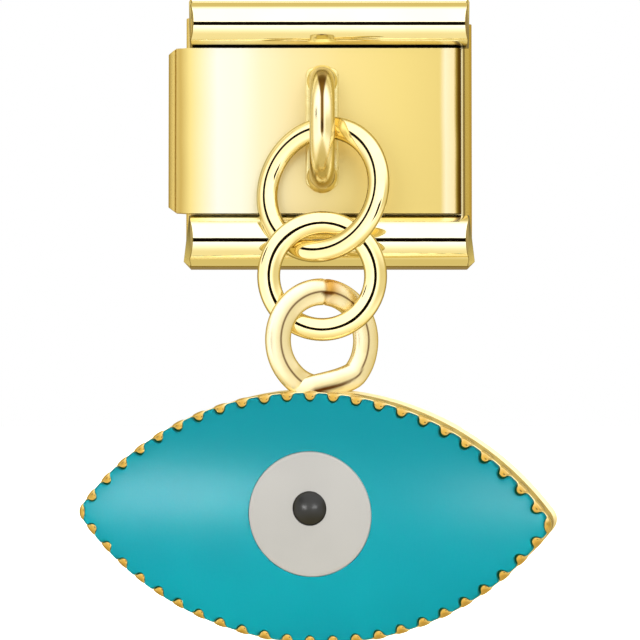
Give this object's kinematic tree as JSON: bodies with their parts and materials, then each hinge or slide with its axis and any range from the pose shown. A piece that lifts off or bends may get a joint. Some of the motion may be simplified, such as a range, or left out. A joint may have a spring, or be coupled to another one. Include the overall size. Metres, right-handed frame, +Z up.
{
  "type": "bracelet charm link",
  "caption": "Gold-toned bracelet link with a wire bail, two jump rings and a hanging evil eye charm in teal enamel.",
  "frame": {"origin": "centre of the link's flat back, which is the rear sleeve's back face", "axes": "+X along the bracelet, to the right as worn; +Y out of the flat back, so the decorated front faces -Y; +Z up across the bracelet, with the charm hanging towards -Z"},
  "size_m": [0.0157, 0.0073, 0.0216],
  "materials": {
    "plate_gold": "mirror-polished gold plate",
    "rail_gold": "mirror-polished pale gold plate",
    "wire_gold": "mirror-polished gold plate",
    "loop_gold": "polished warm gold plate",
    "solder_gold": "plated solder, slightly uneven",
    "tray_gold": "polished gold plate",
    "tooth_gold": "polished gold plate",
    "sleeve_gold": "gold plated, brushed along the bracelet",
    "bow_steel": "drawn wire",
    "spring_steel": "blued spring strip",
    "teal_enamel": "opaque glossy fired enamel",
    "white_enamel": "opaque glossy enamel",
    "black_cabochon": "opaque polished dome"
  },
  "bodies": {
    "link": {"front_sleeve": "sleeve_gold", "face_plate": "plate_gold", "upper_rail": "rail_gold", "lower_rail": "rail_gold", "bail": "wire_gold", "bail_solder": "solder_gold", "front_spring": "spring_steel"},
    "rear": {"rear_sleeve": "sleeve_gold", "rear_spring": "spring_steel"},
    "bow_upper_left": {"upper_left_bow": "bow_steel"},
    "bow_upper_right": {"upper_right_bow": "bow_steel"},
    "bow_lower_left": {"lower_left_bow": "bow_steel"},
    "bow_lower_right": {"lower_right_bow": "bow_steel"},
    "ring_upper": {"upper_ring": "wire_gold"},
    "ring_lower": {"lower_ring": "wire_gold"},
    "charm": {"charm_loop": "loop_gold", "loop_solder": "solder_gold", "charm_tray": "tray_gold", "tooth_bezel": "tooth_gold", "enamel": "teal_enamel", "eye_white": "white_enamel", "pupil": "black_cabochon"}
  },
  "joints": [
    {"name": "rear_slide", "type": "slide", "parent": "link", "child": "rear", "axis": [1, 0, 0], "range_m": [0, 0.0009], "stiffness_N_per_m": 500},
    {"name": "bow_upper_left_turn", "type": "hinge", "parent": "link", "child": "bow_upper_left", "pos_m": [-0.0026, -0.00182, 0.0041], "axis": [0, 0, -1], "range_deg": [0, 40]},
    {"name": "bow_upper_right_turn", "type": "hinge", "parent": "link", "child": "bow_upper_right", "pos_m": [0.0026, -0.00182, 0.0041], "axis": [0, 0, -1], "range_deg": [0, 40]},
    {"name": "bow_lower_left_turn", "type": "hinge", "parent": "link", "child": "bow_lower_left", "pos_m": [-0.0026, -0.00182, -0.0041], "axis": [0, 0, -1], "range_deg": [0, 40]},
    {"name": "bow_lower_right_turn", "type": "hinge", "parent": "link", "child": "bow_lower_right", "pos_m": [0.0026, -0.00182, -0.0041], "axis": [0, 0, -1], "range_deg": [0, 40]},
    {"name": "upper_ring_swing", "type": "hinge", "parent": "link", "child": "ring_upper", "pos_m": [0, -0.00417, -0.00004], "axis": [-1, 0, 0], "range_deg": [0, 75]},
    {"name": "lower_ring_swing", "type": "hinge", "parent": "ring_upper", "child": "ring_lower", "pos_m": [0, -0.00453, -0.00208], "axis": [0.4695, 0.8695, -0.1533], "range_deg": [-28, 28]},
    {"name": "charm_swing", "type": "hinge", "parent": "ring_lower", "child": "charm", "pos_m": [0, -0.00481, -0.00495], "axis": [0, 1, 0], "range_deg": [-40, 40]}
  ],
  "couplings": [
    {"joint": "bow_upper_left_turn", "follows": "rear_slide", "rad_per_m": 770},
    {"joint": "bow_upper_right_turn", "follows": "rear_slide", "rad_per_m": 770},
    {"joint": "bow_lower_left_turn", "follows": "rear_slide", "rad_per_m": 770},
    {"joint": "bow_lower_right_turn", "follows": "rear_slide", "rad_per_m": 770}
  ]
}
